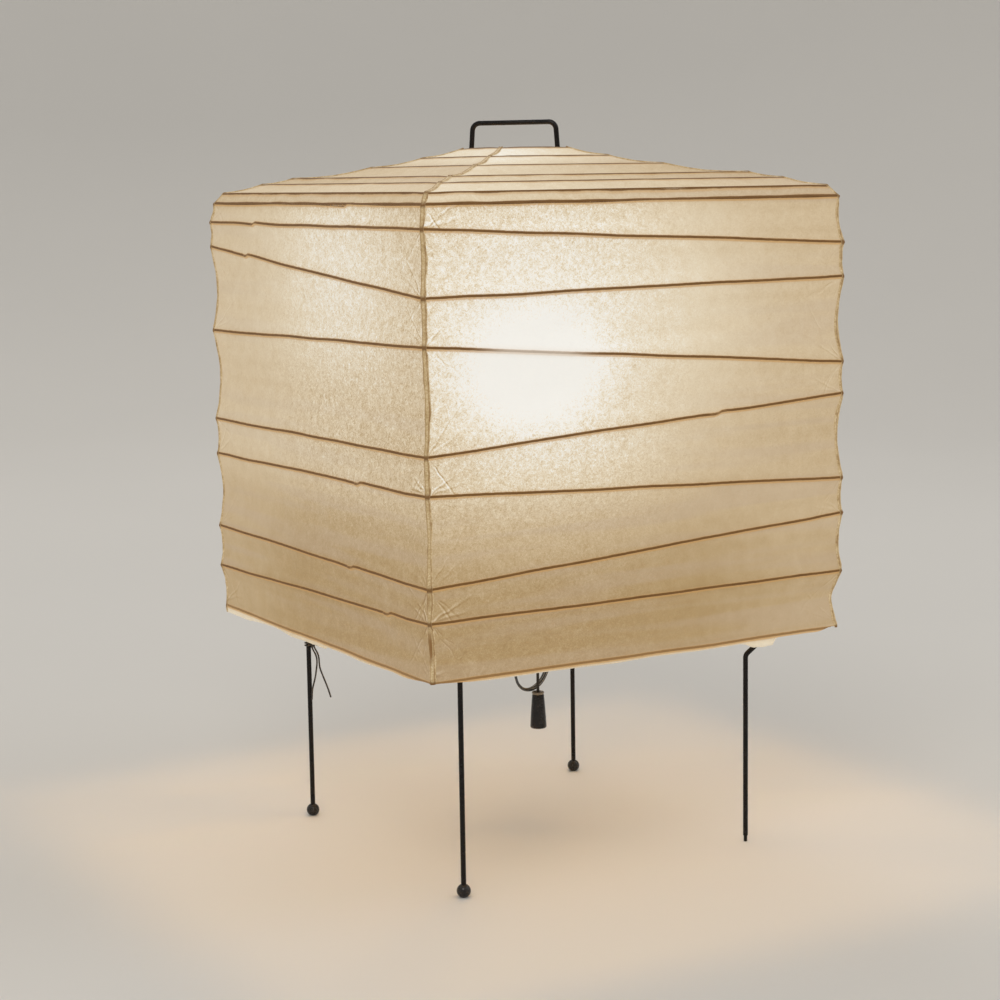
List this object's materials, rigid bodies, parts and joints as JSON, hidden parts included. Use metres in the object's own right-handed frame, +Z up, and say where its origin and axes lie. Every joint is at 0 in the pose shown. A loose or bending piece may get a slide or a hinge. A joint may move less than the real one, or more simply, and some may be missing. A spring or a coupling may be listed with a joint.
{
  "type": "table lamp",
  "caption": "Square paper lantern lamp: ribbed washi shade with a low pyramid roof and wire handle, on thin wire legs with ball feet, with a pull cord switch.",
  "frame": {"origin": "on the floor, at the middle of the square of the four feet", "axes": "+Z up; -Y is the front, the face that the picture shows widest; +X is to its right; the handle's bar lies along the diagonal from (-X, +Y) to (+X, -Y)"},
  "size_m": [0.2408, 0.2408, 0.3768],
  "materials": {
    "washi_paper": "translucent mottled washi, matte",
    "seam_paper": "thin yellowish paper tape, matte",
    "bamboo": "brown split bamboo, matte",
    "black_wire": "glossy black lacquered steel wire",
    "foot_plastic": "glossy black",
    "holder_plastic": "satin black moulded plastic",
    "holder_ceramic": "unglazed white",
    "contact_brass": "satin brass strip",
    "zinc_steel": "zinc plated",
    "bulb_glass": "warm white frosted glass",
    "cap_aluminium": "bright",
    "pull_cord": "thin black braided cord",
    "knob_plastic": "glossy black",
    "lead_plastic": "glossy black twin lead",
    "black_string": "thin black cotton string"
  },
  "bodies": {
    "lamp": {"paper_front": "washi_paper", "paper_right": "washi_paper", "paper_back": "washi_paper", "paper_left": "washi_paper", "roof_front": "washi_paper", "roof_right": "washi_paper", "roof_back": "washi_paper", "roof_left": "washi_paper", "seam_front_left": "seam_paper", "seam_front_right": "seam_paper", "seam_back_right": "seam_paper", "seam_back_left": "seam_paper", "rib_1": "bamboo", "rib_2": "bamboo", "rib_3": "bamboo", "rib_4": "bamboo", "rib_5": "bamboo", "rib_6": "bamboo", "rib_7": "bamboo", "rib_8": "bamboo", "rib_9": "bamboo", "roof_rib_1": "bamboo", "roof_rib_2": "bamboo", "roof_rib_3": "bamboo", "roof_rib_4": "bamboo", "roof_rib_5": "bamboo", "rim_ring": "bamboo", "frame_arms": "black_wire", "frame_hub": "black_wire", "leg_front_left": "black_wire", "leg_front_right": "black_wire", "leg_back_right": "black_wire", "leg_back_left": "black_wire", "foot_front_left": "foot_plastic", "foot_back_right": "foot_plastic", "foot_back_left": "foot_plastic", "stretcher": "black_wire", "rim_hooks": "black_wire", "upright_sockets": "black_wire", "holder_shell": "holder_plastic", "holder_core": "holder_ceramic", "screw_shell": "contact_brass", "centre_contact": "contact_brass", "nipple": "zinc_steel", "nipple_nuts": "zinc_steel", "bulb_glass": "bulb_glass", "bulb_cap": "cap_aluminium", "switch_case": "holder_plastic", "switch_lid": "holder_plastic", "bell_mouth": "zinc_steel", "lever_pin": "zinc_steel", "return_spring": "zinc_steel", "lead_loop": "lead_plastic", "lead_gland": "holder_plastic", "tie_wraps": "black_string", "tie_tail_a": "black_string", "tie_tail_b": "black_string"},
    "pull": {"pull_cord": "pull_cord", "pull_knob": "knob_plastic"},
    "lever": {"pull_lever": "contact_brass"}
  },
  "joints": [
    {"name": "cord_pull", "type": "slide", "parent": "lamp", "child": "pull", "axis": [0, 0, -1], "range_m": [0, 0.007], "stiffness_N_per_m": 60, "springref_m": -0.004, "deforming": ["return_spring"]},
    {"name": "lever_swing", "type": "hinge", "parent": "lamp", "child": "lever", "pos_m": [-0.00647, 0, 0.104], "axis": [0, 1, 0], "range_deg": [0, 25]}
  ],
  "couplings": [
    {"joint": "lever_swing", "follows": "cord_pull", "rad_per_m": 59.84}
  ]
}
